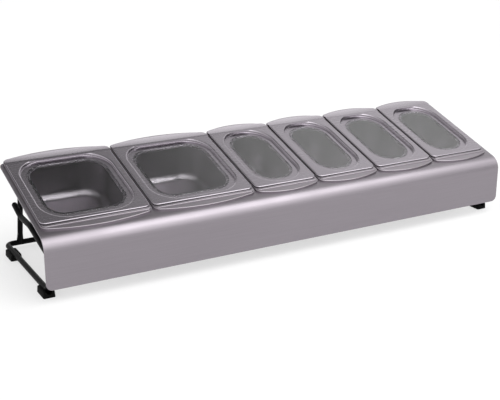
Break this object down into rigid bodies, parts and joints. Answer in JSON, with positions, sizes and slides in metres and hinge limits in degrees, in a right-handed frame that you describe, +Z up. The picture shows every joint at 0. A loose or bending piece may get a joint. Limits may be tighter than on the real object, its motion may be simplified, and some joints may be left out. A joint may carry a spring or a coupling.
{
  "type": "pizza topping station",
  "caption": "Long sloping steel counter station on a bent rod stand, holding a row of lift-out pans with lift-off windowed lids.",
  "frame": {"origin": "on the surface it stands on, at the centre of the bounding box's footprint", "axes": "+X along the row of pans, to the right seen from the front; +Y from the front apron to the rear; +Z up"},
  "size_m": [0.7662, 0.222, 0.1493],
  "materials": {
    "brushed_steel": "brushed along the row",
    "pan_steel": "satin",
    "lid_steel": "satin",
    "clear_plastic": "clear, slightly hazy",
    "dark_silicone": "matte",
    "black_coat": "satin powder coat",
    "black_rubber": "matte",
    "plain_steel": "plain"
  },
  "bodies": {
    "station": {"deck_sheet": "brushed_steel", "stand_rod": "black_coat", "rear_post_left": "black_coat", "rear_post_right": "black_coat", "post_tab_left": "black_coat", "post_tab_right": "black_coat", "front_bracket_left": "black_coat", "front_bracket_right": "black_coat", "weld_studs": "plain_steel", "stud_nuts": "plain_steel", "foot_front_left": "black_rubber", "foot_front_right": "black_rubber", "foot_rear_left": "black_rubber", "foot_rear_right": "black_rubber"},
    "pan_1_body": {"pan_1": "pan_steel"},
    "lid_1_body": {"lid_frame_1": "lid_steel", "lid_window_1": "clear_plastic", "lid_seal_1": "dark_silicone"},
    "pan_2_body": {"pan_2": "pan_steel"},
    "lid_2_body": {"lid_frame_2": "lid_steel", "lid_window_2": "clear_plastic", "lid_seal_2": "dark_silicone"},
    "pan_3_body": {"pan_3": "pan_steel"},
    "lid_3_body": {"lid_frame_3": "lid_steel", "lid_window_3": "clear_plastic", "lid_seal_3": "dark_silicone"},
    "pan_4_body": {"pan_4": "pan_steel"},
    "lid_4_body": {"lid_frame_4": "lid_steel", "lid_window_4": "clear_plastic", "lid_seal_4": "dark_silicone"},
    "pan_5_body": {"pan_5": "pan_steel"},
    "lid_5_body": {"lid_frame_5": "lid_steel", "lid_window_5": "clear_plastic", "lid_seal_5": "dark_silicone"},
    "pan_6_body": {"pan_6": "pan_steel"},
    "lid_6_body": {"lid_frame_6": "lid_steel", "lid_window_6": "clear_plastic", "lid_seal_6": "dark_silicone"}
  },
  "joints": [
    {"name": "pan_1_lift", "type": "slide", "parent": "station", "child": "pan_1_body", "axis": [0, -0.2756, 0.9613], "range_m": [0, 0.09]},
    {"name": "lid_1_lift", "type": "slide", "parent": "pan_1_body", "child": "lid_1_body", "axis": [0, -0.2756, 0.9613], "range_m": [0, 0.08]},
    {"name": "pan_2_lift", "type": "slide", "parent": "station", "child": "pan_2_body", "axis": [0, -0.2756, 0.9613], "range_m": [0, 0.09]},
    {"name": "lid_2_lift", "type": "slide", "parent": "pan_2_body", "child": "lid_2_body", "axis": [0, -0.2756, 0.9613], "range_m": [0, 0.08]},
    {"name": "pan_3_lift", "type": "slide", "parent": "station", "child": "pan_3_body", "axis": [0, -0.2756, 0.9613], "range_m": [0, 0.09]},
    {"name": "lid_3_lift", "type": "slide", "parent": "pan_3_body", "child": "lid_3_body", "axis": [0, -0.2756, 0.9613], "range_m": [0, 0.08]},
    {"name": "pan_4_lift", "type": "slide", "parent": "station", "child": "pan_4_body", "axis": [0, -0.2756, 0.9613], "range_m": [0, 0.09]},
    {"name": "lid_4_lift", "type": "slide", "parent": "pan_4_body", "child": "lid_4_body", "axis": [0, -0.2756, 0.9613], "range_m": [0, 0.08]},
    {"name": "pan_5_lift", "type": "slide", "parent": "station", "child": "pan_5_body", "axis": [0, -0.2756, 0.9613], "range_m": [0, 0.09]},
    {"name": "lid_5_lift", "type": "slide", "parent": "pan_5_body", "child": "lid_5_body", "axis": [0, -0.2756, 0.9613], "range_m": [0, 0.08]},
    {"name": "pan_6_lift", "type": "slide", "parent": "station", "child": "pan_6_body", "axis": [0, -0.2756, 0.9613], "range_m": [0, 0.09]},
    {"name": "lid_6_lift", "type": "slide", "parent": "pan_6_body", "child": "lid_6_body", "axis": [0, -0.2756, 0.9613], "range_m": [0, 0.08]}
  ]
}
